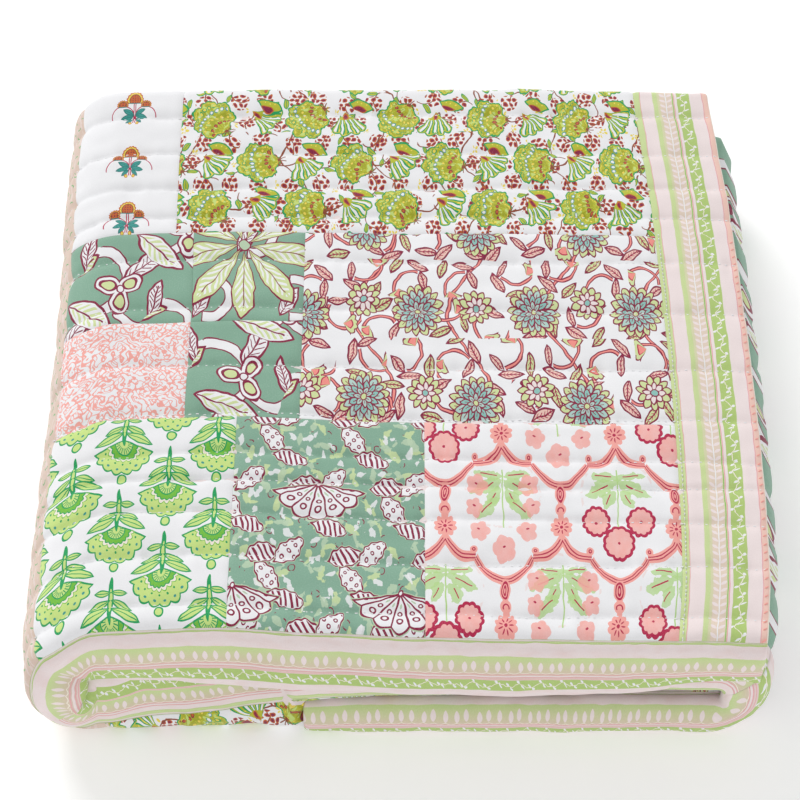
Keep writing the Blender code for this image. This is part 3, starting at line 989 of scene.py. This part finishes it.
def paisleys(name, x=0, y=0, turn=0):
    """Sage ground with great curling white stems, veined leaves and three-lobed flowers."""
    draw = Drawing(name, SAGE)
    spot = draw.place(0.9, x, y, turn).flattened().placed(scale=1.3).lattice(45, 78)
    long_stem, short_stem = spot.placed(-14, 6), spot.placed(16, -12)
    for own, reach, side in ((long_stem, 21, long_stem.x.over(-4)), (short_stem, 15, short_stem.y.under(3))):
        draw.ink(own.ring(0, 0, reach, 3.6) * side, MAROON)
        draw.ink(own.ring(0, 0, reach, 2.7) * side, WHITE)
    great_leaf(draw, spot, 19, 15, 35, 36, 12, WHITE, MAROON)
    great_leaf(draw, spot, -17, -15, -40, 40, 15, WHITE, PALE_LIME)
    great_leaf(draw, spot, -23, 21, 20, 24, 8, PALE_LIME, WHITE)
    great_leaf(draw, spot, 26, -9, 75, 26, 9, WHITE, MAROON)
    flower = spot.placed(2, -2, 30)
    draw.shape(flower.folded(3).oval(8, 0, 0, 17, 12), WHITE, MAROON, 1.1)
    draw.shape(flower.folded(3).oval(8.2, 0, 0, 10, 6.4), PALE_LIME, MAROON, 1.1)
    draw.shape(flower.length() - 2.4, WHITE, MAROON, 0.9)
    return draw.finish()


def squiggles():
    """White ground filled with thin wandering coral lines."""
    draw = Drawing("squiggle_print", WHITE)
    place = draw.place(0)
    for spot, scale, lines, thin in ((place, 0.125, 3.4, 0.14), (place.placed(40, 9), 0.145, 2.6, 0.12)):
        drift = draw.noise(spot, scale, 0, 0.25)
        draw.ink(abs((drift * lines).wrapped(1)).under(thin), CORAL_WASH)
    return draw.finish()


def fan_vine():
    """White ground with chartreuse shells and ribbed fans on brown vines, with maroon berries."""
    draw = Drawing("fan_vine_print", WHITE)
    place = draw.place(1.1, 9, 8).flattened()
    mottle = draw.noise(place, 0.22, 2)
    wave = place.y.wave(84) * 10 + place.y.wave(42) * 3
    draw.ink((place.x + wave).wrapped(80).line(1.4), BROWN)
    fore = place.placed(23, 11).scattered(25, 20, 51, 0.30)
    draw.ink(fore.ring(2, 9, 9, 0.5) * fore.x.line(15), BROWN)
    ripe = place.scattered(5, 4.4, 9, 0.34).oval(0, 0, 0, 3.9, 2.9)
    group = fore.length().under(7.6)
    draw.ink(ripe.under(0.3) * group, RUST)
    draw.ink(ripe.under(-0.4) * group, MAROON)
    draw.veined_leaf(fore, -9.5, 4, 60, 9, 4, CHARTREUSE, GREEN, 0.7)
    draw.ink(fore.placed(9, -8).folded(5).oval(2.4, 0, 0, 3, 1.8).under(), YELLOW)
    cell = place.bricks(82, 43)
    lean = (draw.noise(place - cell, 0.037, 0) - 0.5) * 3.2
    draw.ink(cell.ring(2, 13, 15, 0.6) * cell.y.under(8), BROWN)
    spread = cell.placed(14, 9, -52).spun(lean * -0.6)
    reach, angle = spread.length(), spread.angle()
    fan = spread.scallop(8, 2.4, 23).cut((abs(angle) - 0.74) * 17)
    draw.shape(fan, YELLOW, GREEN, 1.1)
    draw.ink(fan.under(-0.6) * reach.over(8) * mottle.over(0.44), CHARTREUSE)
    stripe = abs(angle.wrapped(0.30))
    blade = fan.under(-1.4) * reach.over(9)
    draw.ink(stripe.under(0.062) * blade, WHITE)
    draw.ink(stripe.near(0.085, 0.06) * blade, GREEN)
    draw.ink(reach.under(9) * fan.under(), CHARTREUSE)
    draw.shape(spread.oval(5, 0, 0, 6.6, 3.2), MAROON, RUST, 0.8)
    turned = cell.placed(-20, 1, 172).spun(lean)
    own = turned.placed(-17.5, 0)
    middle = turned.placed(0.5, 0)
    lobes = abs((middle.angle() * 3.5).sine()) * 3.6 + abs((middle.angle() * 11).sine())
    shell = middle.length() - lobes - 15
    draw.shape(shell, CHARTREUSE, GREEN, 1.2)
    draw.ink(shell.near(-2.2, 1.2) * mottle.over(0.46), YELLOW)
    draw.ink(shell.under(-1.6) * mottle.over(0.55) * 0.8, OLIVE)
    draw.ink(shell.under(-2) * mottle.under(0.42) * 0.8, LIME)
    draw.ink(own.folded(26).y.line(0.6) * shell.under(-2.4) * own.x.over(6), OLIVE)
    for count, at, size, paint, line in (
        (44, 29.5, 2.5, YELLOW, GREEN), (34, 23.8, 2.6, WHITE, TEAL),
        (25, 17.6, 2.4, YELLOW, OLIVE), (17, 11.5, 2.3, RUST, MAROON),
    ):
        dot = own.folded(count, 0.04 * at).off(at, 0) - size / 2
        draw.ink(dot.near(0.25, 0.7) * shell.under(-1.8) * mottle.over(0.40), line)
        draw.ink(dot.under(-0.1) * shell.under(-1.8), paint)
    draw.ink(own.folded(9).y.line(0.9) * own.length().under(6) * own.x.under(1.5), BROWN)
    body, petal = cell.leaf(28, 15, -18, 23, 9.6)
    draw.shape(body, CHARTREUSE, GREEN, 1.2)
    draw.shape(cell.leaf(26, 12.4, -18, 12, 4.4)[0], MAROON, RUST, 0.8)
    draw.ink(petal.repeated(4.6, 9).off(0, 2).under(0.7) * body.under(-1), YELLOW)
    return draw.finish()


def sprigs():
    """White ground with one column of sprigs: rust domes, teal leaves and crimson stems."""
    draw = Drawing("sprig_print", WHITE)
    middle = (-1000 * (PATCHES_END - 2 * INCH_ACROSS), 1000 * (SECOND_ROW + 0.022))
    spot = draw.place(0.4, *middle).flattened().repeated(200, 54).placed(scale=0.84)
    half = spot.mirrored()
    draw.ink(half.x.near(1, 1) * spot.y.near(-8, 22), CRIMSON)
    draw.ink(half.ring(12, -12, 11.5, 0.5) * half.y.near(-6, 14), CRIMSON)
    for leaf in ((6.5, -6.5, 28, 12, 4.6), (7.5, -11.5, -12, 13, 4.6), (5, -16, -45, 9, 3.6)):
        draw.veined_leaf(half, *leaf, TEAL, DARK_TEAL, 0.8)
    for dome, reach in ((spot.placed(0, 6.5), 8.6), (half.placed(12.5, 1), 4.8)):
        above = dome.y.over(-reach * 0.45)
        round_in = dome.length()
        draw.shape(dome.scallop(8, 0.9, reach) + 0.6, YELLOW, RUST, 1.3, above)
        draw.shape(round_in - reach * 0.72, RUST, BROWN, 0.9, above)
        dots = dome.repeated(2.7, 2.5).length().under(0.65)
        draw.ink(dots * round_in.under(reach * 0.62) * above, MAROON)
        draw.ink(dome.y.near(-reach * 0.45, 0.9) * round_in.under(reach * 0.95), DARK_TEAL)
    draw.shape(half.off(4, -19.5) - 1.6, YELLOW, RUST, 0.7)
    return draw.finish()


def dashed_column():
    """Beige and pink ground with small curved green dashes and faint white streaks."""
    draw = Drawing("dash_print", PINK_BEIGE)
    place = draw.place(0.9)
    draw.ink(draw.noise(place, 0.03, 2) * 0.5, BEIGE)
    streaks = draw.noise(draw.spot(place.x * 3, place.y * 0.6), 0.10, 2)
    draw.ink(streaks.over(0.58) * 0.45, PALE_PINK)
    spot = place.scattered(10, 9, 20)
    draw.ink(spot.ring(0, 3.2, 3.2, 0.55) * spot.x.line(4.6) * spot.y.under(1.2), GREEN_WASH)
    return draw.finish()


def leaf_row(draw, along, distance, start, wide, turned_over=False, spacing=8.8):
    """A row of pale leaves on a wavy base line, over a band that fades from green to pink."""
    inside = distance.over(start) * distance.under(start + wide)
    share = (distance - start) * (1 / wide)
    if turned_over:
        share = 1 - share
    depth = share * wide
    draw.ink(inside, LIGHT_GREEN)
    draw.ink(inside * (share * 1.25 - 0.1), PINK_BEIGE)
    wobble = (along.cell(spacing) * 2.4).sine() * 2
    spot = draw.spot((along - wobble * 0.5).wrapped(spacing), depth - wobble * 0.35)
    draw.shape(spot.leaf(0, wide * 0.44, 90, wide * 0.50, 4.2)[0], PALE_PINK, within=inside)
    base = depth - abs(along.wave(2 * spacing)) * 1.2
    draw.ink(base.near(wide * 0.715, 0.6) * inside, CREAM)
    for at, width, paint in ((0.82, 0.7, PINK), (0.90, 1.4, PALE_PINK), (0.965, 0.7, PINK)):
        draw.ink(depth.near(wide * at, width) * inside, paint)


def vine_row(draw, along, distance, start, wide, spacing=9):
    """A green band with an uneven white vine and small leaves."""
    inside = distance.over(start) * distance.under(start + wide)
    draw.ink(inside, VINE_GREEN)
    wander = (draw.noise(draw.spot(along, 3), 0.17, 2) - 0.5) * 7
    path = distance - start - wide / 2 - along.wave(2 * spacing) * (wide * 0.17) - wander
    draw.ink(path.line(0.8) * inside, CREAM)
    spot = draw.spot((along + 3).wrapped(spacing), path)
    for x, y, turn in ((1.5, 2.2, 55), (-2, -2.2, 60)):
        draw.shape(spot.leaf(x, y, turn, 4.6, 1.8)[0], WHITE, within=inside)


def front_border(name, seam_green, first_pink, leaf_wide, second_pink, vine_wide, turned_over=False):
    """The front border's print: stripes that run along the hem, counted back from its seam."""
    draw = Drawing(name, PALE_PINK)
    place = draw.place(0.25)
    along = place.x
    distance = STRIP * 1000 - place.y
    leaf_start = seam_green + first_pink
    vine_start = leaf_start + leaf_wide + second_pink
    blush = draw.noise(draw.spot(along * 0.35, distance), 0.16, 2)
    draw.ink((blush - 0.42) * 1.2, BLUSH)
    draw.ink(distance.under(seam_green), LIGHT_GREEN)
    draw.ink(distance.near(seam_green, 0.5), VINE_GREEN)
    leaf_row(draw, along, distance, leaf_start, leaf_wide, turned_over)
    draw.ink(distance.near(vine_start - second_pink / 2, second_pink), BLUSH)
    draw.ink(distance.near(vine_start - second_pink / 2, 0.5), PINK)
    vine_row(draw, along, distance, vine_start, vine_wide)
    return draw.finish()


def side_border():
    """The right border's print: stripes that run front to back, counted in from the hem."""
    draw = Drawing("side_border_print", PALE_PINK)
    place = draw.place(0.25)
    distance = place.x * -1
    inner = SIDE_BORDER * 1000 - distance
    draw.ink(inner.under(6), LIGHT_GREEN)
    draw.ink(inner.near(6, 0.6), PINK)
    band = inner - 18
    draw.ink(band.over(0) * band.under(4.1), LIGHT_GREEN)
    draw.ink(band.over(4.1) * band.under(19.2), BEIGE)
    stem = band - 11.6
    draw.ink(stem.line(0.9), WHITE)
    leaves = draw.spot(abs(stem), place.y.wrapped(6.6))
    draw.shape(leaves.leaf(3.2, 0.8, 36, 6.6, 2.6)[0], PALE_PINK)
    draw.ink(stem.line(15) * abs(stem).over(5.4) * 0.5, LIGHT_GREEN)
    draw.ink(band.near(18, 0.6), LEAF_GREEN)
    draw.ink(band.near(19.2, 0.8), PINK)
    vine_row(draw, place.y, band, 22, 11.7)
    draw.ink(distance.under(5.8), PEACH)
    draw.ink(distance.near(5.8, 0.7), PINK)
    draw.ink(distance.under(0.9), CREAM)
    return draw.finish()


def plain_cotton(name, colour):
    return Drawing(name, colour).finish(0.2)


# Where the prints change, across from the right hem and along from the front hem.
TRELLIS_END = SIDE_BORDER + 8 * INCH_ACROSS
WINGS_END = TRELLIS_END + 6 * INCH_ACROSS
PATCHES_END = WINGS_END + 6 * INCH_ACROSS
COLUMN_END = PATCHES_END + 5 * INCH_ACROSS
DAHLIA_END = SIDE_BORDER + 12 * INCH_ACROSS
LEAVES_END = DAHLIA_END + 3.7 * INCH_ACROSS
VINE_END = SIDE_BORDER + 16.3 * INCH_ACROSS
FIRST_ROW = STRIP + 8 * INCH_ALONG
HALF_ROW = STRIP + 12 * INCH_ALONG
SECOND_ROW = STRIP + 16 * INCH_ALONG
OVER_BACK = BACK_STOP + 0.014
UNDERSIDE_SPLIT = COLUMN_END + 12 * INCH_ACROSS
UNDERSIDE_END = COLUMN_END + 22 * INCH_ACROSS
LEFT_LAYER_END = 0.66
MIDDLE_LAYER_END = 1.235
# The spacing of a panel's points, where it shows.
GRID = 0.0022

THREAD_WIDTH = 0.00055
STITCH_STEP = 0.0066
STITCH_LENGTH = 0.0030
# How far a stitch stands out of the cloth at its four points; both ends go into it.
STITCH_RISE = np.array([-0.0006, 0.0003, 0.0003, -0.0006])[:, None]


def thread_mesh(name, routes, material):
    """Many short stitches as one mesh; each route is the row of points that a stitch follows."""
    vertices, faces = [], []
    for points in routes:
        start = len(vertices)
        count = len(points)
        forward = np.gradient(points, axis=0)
        forward /= np.linalg.norm(forward, axis=1, keepdims=True)
        side = np.cross(forward, np.roll(forward, 1, axis=1) + 0.3)
        side /= np.linalg.norm(side, axis=1, keepdims=True)
        rise = np.cross(side, forward)
        for k in range(count):
            thin = 0.45 if k in (0, count - 1) else 1.0
            for turn in range(5):
                angle = 2 * math.pi * turn / 5
                spoke = side[k] * math.cos(angle) + rise[k] * math.sin(angle)
                vertices.append(tuple(points[k] + spoke * THREAD_WIDTH * thin))
        for k in range(count - 1):
            for turn in range(5):
                a, b = start + 5 * k + turn, start + 5 * k + (turn + 1) % 5
                faces.append((a, b, b + 5, a + 5))
        last = start + 5 * (count - 1)
        faces.append(tuple(range(start + 4, start - 1, -1)))
        faces.append(tuple(range(last, last + 5)))
    mesh = bpy.data.meshes.new(name)
    mesh.from_pydata(vertices, [], faces)
    return cloth_piece(name, mesh, [material])


def route_points(across, along):
    """(points, normals) of the printed side at paired places across and along."""
    points, ups = [], []
    for u, v in zip(across, along):
        au, av = np.array([u]), np.array([v])
        x, y = grid_of(au, av)
        half, to_row = loft(x, y)
        up = normals(au, av)[0, 0]
        out = (half * hem_round(x, y) + relief(x, y, to_row))[0, 0]
        points.append(middle_points(au, av)[0, 0] + up * out)
        ups.append(up)
    return np.array(points), np.array(ups)


def along_row(at, places, row):
    """Points at these places along a row of points whose places are known."""
    return np.stack([np.interp(at, places, row[:, i]) for i in range(3)], axis=1)


def running_stitches(name, across_range, rows, material):
    """Running stitches along rows of quilting: each is a short thread that dips at both ends."""
    chance = np.random.default_rng(61)
    places = np.arange(across_range[0] - 0.003, across_range[1] + 0.004, 0.0015)
    routes = []
    for k in rows:
        points, ups = route_points(places, row_place(k, places))
        u = across_range[0]
        while u < across_range[1]:
            half = STITCH_LENGTH * chance.uniform(0.8, 1.2) / 2
            at = u + half * np.array([-1.0, -0.4, 0.4, 1.0])
            routes.append(along_row(at, places, points) + along_row(at, places, ups) * STITCH_RISE)
            u += STITCH_STEP * chance.uniform(0.86, 1.14)
    return thread_mesh(name, routes, material)


def edge_stitches(name, rails, step, slant, material):
    """Stitches front to back, each from one rail to the other: beside a seam or over a hem."""
    chance = np.random.default_rng(17)
    places = np.arange(STRIP - 0.002, SECOND_ROW + 0.006, 0.002)
    (near, near_up), (far, _) = [route_points(np.full_like(places, across), places) for across in rails]
    share = np.array([0.0, 0.3, 0.7, 1.0])
    crossed = share[:, None]
    routes = []
    v = STRIP
    while v < SECOND_ROW:
        one, two, up = [along_row(v + slant * share, places, row) for row in (near, far, near_up)]
        routes.append(one * (1 - crossed) + two * crossed + up * STITCH_RISE)
        v += step * chance.uniform(0.86, 1.14)
    return thread_mesh(name, routes, material)


def build_cloth():
    """Every piece of the bedspread: the filled sheet, its printed patches, borders and stitches."""
    backing = paisleys("backing_print")
    core = core_sheet(plain_cotton("seam_cotton", PALE_PINK), backing, plain_cotton("hem_cotton", PALE_PINK))
    chartreuse, dahlia, squiggle = fan_vine(), dahlias(), squiggles()
    swirl, leafy = paisleys("swirl_print", -430, 300, 24), paisleys("leafy_print", -540, 400)
    top_border = front_border("top_border_print", 2.2, 9.4, 21.6, 2.0, 11.4)
    middle_border = front_border("middle_border_print", 5.7, 4.9, 17.0, 1.8, 13.0, True)
    lower_border = front_border("lower_border_print", 2.2, 8.2, 15.0, 2.6, 10.0)
    hem_row, front_row, back_row = (0.0, STRIP), (STRIP, FIRST_ROW), (SECOND_ROW, OVER_BACK)
    middle_row, near_half, far_half = (FIRST_ROW, SECOND_ROW), (FIRST_ROW, HALF_ROW), (HALF_ROW, SECOND_ROW)
    pieces = [
        panel(name, (start, stop), along, spacing, fabric, seams)
        for name, start, stop, along, spacing, fabric, seams in (
            ("trellis_patch", SIDE_BORDER, TRELLIS_END, front_row, GRID, trellis(), "LRFB"),
            ("wing_patch", TRELLIS_END, WINGS_END, front_row, GRID, butterflies(), "LRFB"),
            ("block_fan_patch", WINGS_END, PATCHES_END, front_row, GRID, block_fans(), "LRFB"),
            ("dahlia_patch", SIDE_BORDER, DAHLIA_END, middle_row, GRID, dahlia, "LRFB"),
            ("paisley_patch", DAHLIA_END, LEAVES_END, near_half, GRID, swirl, "LRFB"),
            ("star_leaf_patch", DAHLIA_END, LEAVES_END, far_half, GRID, star_leaves(), "LRFB"),
            ("squiggle_patch", LEAVES_END, PATCHES_END, near_half, GRID, squiggle, "LRFB"),
            ("leaf_patch", LEAVES_END, PATCHES_END, far_half, GRID, leafy, "LRFB"),
            ("fan_vine_patch", SIDE_BORDER, VINE_END, back_row, GRID, chartreuse, "LRF"),
            ("sprig_patch", VINE_END, PATCHES_END, back_row, GRID, sprigs(), "LRF"),
            ("dash_column", PATCHES_END, COLUMN_END, (STRIP, OVER_BACK), 0.0028, dashed_column(), "LRF"),
            ("under_vine_patch", COLUMN_END, UNDERSIDE_SPLIT, front_row, 0.004, chartreuse, "LRFB"),
            ("under_dahlia_patch", UNDERSIDE_SPLIT, UNDERSIDE_END, front_row, 0.006, dahlia, "LRFB"),
            ("under_squiggle_patch", COLUMN_END, UNDERSIDE_SPLIT, middle_row, 0.006, squiggle, "LRFB"),
            ("under_wing_patch", COLUMN_END, UNDERSIDE_SPLIT, back_row, 0.005, chartreuse, "LRF"),
            ("under_back_patch", UNDERSIDE_SPLIT, UNDERSIDE_END, back_row, 0.006, dahlia, "LRF"),
            ("side_border", 0.0, SIDE_BORDER, (STRIP, OVER_BACK), GRID, side_border(), "LF"),
            ("top_front_border", 0.0, LEFT_LAYER_END, hem_row, GRID, top_border, "B"),
            ("middle_front_border", LEFT_LAYER_END, MIDDLE_LAYER_END, hem_row, GRID, middle_border, "B"),
            ("lower_front_border", MIDDLE_LAYER_END, LEFT_EDGE, hem_row, 0.0026, lower_border, "B"),
        )
    ]
    thread = plain_cotton("white_thread", WHITE)
    coral_thread = plain_cotton("coral_thread", CORAL_WASH)
    beside_seam = SIDE_BORDER - 0.0028
    stitches = [
        running_stitches("quilting_stitches", (0.004, 0.640), range(len(QUILTING_ROWS)), thread),
        edge_stitches("border_stitches", (beside_seam, beside_seam), 0.0042, 0.0026, thread),
        edge_stitches("hem_stitches", (0.0052, 0.0012), 0.0080, 0.0030, coral_thread),
    ]


def stage():
    """A pale floor, soft light from above and the camera at the photograph's angle."""
    link = bpy.context.scene.collection.objects.link
    mesh = bpy.data.meshes.new("floor")
    corners = [(x * 12.0, y * 12.0, 0) for x, y in ((-1, -1), (1, -1), (1, 1), (-1, 1))]
    mesh.from_pydata(corners, [], [(0, 1, 2, 3)])
    floor = bpy.data.objects.new("floor", mesh)
    link(floor)
    pale = bpy.data.materials.new("pale_floor")
    pale.use_nodes = True
    set_inputs(pale.node_tree.nodes["Principled BSDF"], {
        "Base Color": (0.97, 0.97, 0.972, 1.0), "Roughness": 0.9,
        "Emission Color": (1.0, 1.0, 1.0, 1.0), "Emission Strength": 0.17,
    })
    mesh.materials.append(pale)
    world = bpy.data.worlds.new("studio")
    world.use_nodes = True
    set_inputs(world.node_tree.nodes["Background"], {"Color": (1.0, 1.0, 1.0, 1.0), "Strength": 0.59})
    bpy.context.scene.world = world
    for name, strength, spread, tilt, heading in (
        ("key_light", 1.70, 26, 58, 208), ("front_light", 0.50, 60, 50, 15),
    ):
        light = bpy.data.lights.new(name, "SUN")
        light.energy = strength
        light.angle = math.radians(spread)
        lamp = bpy.data.objects.new(name, light)
        lamp.rotation_euler = (math.radians(tilt), 0.0, math.radians(heading))
        link(lamp)
    view = bpy.data.cameras.new("camera")
    view.sensor_width = 36.0
    view.lens = FOCAL_PIXELS * view.sensor_width / PHOTO_WIDTH
    view.shift_x = -7 / PHOTO_WIDTH
    camera = bpy.data.objects.new("camera", view)
    camera.location = (0.0015, -1.1612, 1.6318)
    camera.rotation_euler = (math.radians(90 - CAMERA_DOWN), 0.0, 0.0)
    link(camera)
    bpy.context.scene.camera = camera
    bpy.context.scene.view_settings.view_transform = "Standard"


build_cloth()
stage()
